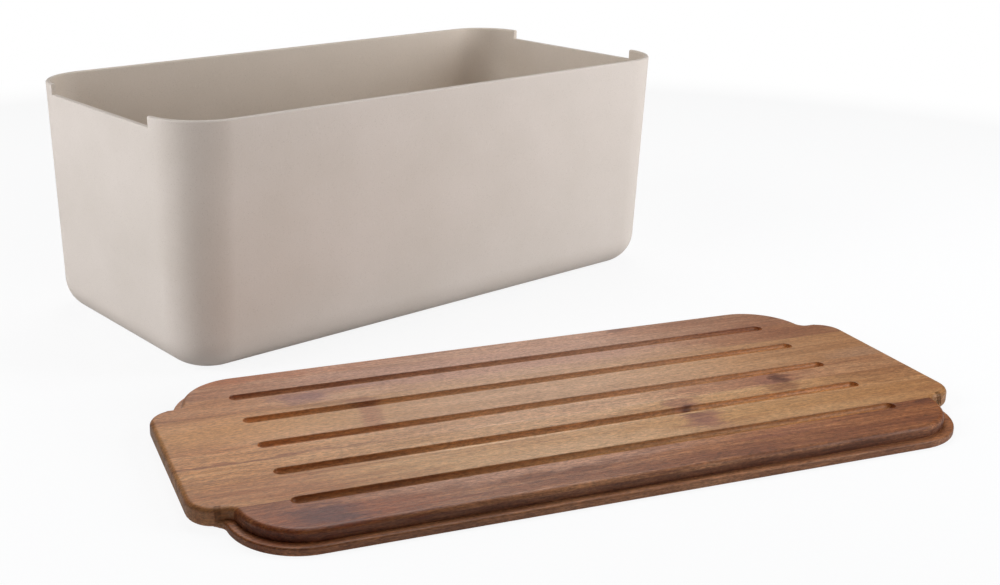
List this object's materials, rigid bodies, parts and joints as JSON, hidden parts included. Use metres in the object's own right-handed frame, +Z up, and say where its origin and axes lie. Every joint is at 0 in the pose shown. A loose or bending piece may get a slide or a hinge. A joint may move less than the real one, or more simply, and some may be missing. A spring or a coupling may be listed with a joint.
{
  "type": "bread bin",
  "caption": "Open-topped round-cornered bread bin in matte composite, with a loose grooved wooden board as its lid, whose end tabs fit notches in the rim.",
  "frame": {"origin": "middle of the bin's flat underside, on the surface that the bin stands on", "axes": "+Z up, out of the bin's mouth; X along the bin's length; -Y towards the lid, which lies in front of the bin"},
  "size_m": [0.4322, 0.4489, 0.138],
  "materials": {
    "bin_composite": "matte plant-fibre composite, warm pale taupe, with a very fine fleck",
    "acacia_pink": "oiled acacia, pinkish brown, with lengthwise grain",
    "acacia_tan": "oiled acacia, golden tan, with lengthwise grain and small knots",
    "acacia_brown": "oiled acacia heartwood, reddish dark brown, with lengthwise grain"
  },
  "bodies": {
    "bin": {"bin": "bin_composite"},
    "lid": {"stave_1_back": "acacia_pink", "stave_2": "acacia_pink", "stave_3": "acacia_tan", "stave_4": "acacia_tan", "stave_5": "acacia_tan", "stave_6": "acacia_tan", "stave_7_front": "acacia_brown"}
  },
  "joints": [
    {"name": "lid_lift", "type": "slide", "parent": "bin", "child": "lid", "axis": [0, 0, 1], "range_m": [0, 0.16]}
  ]
}
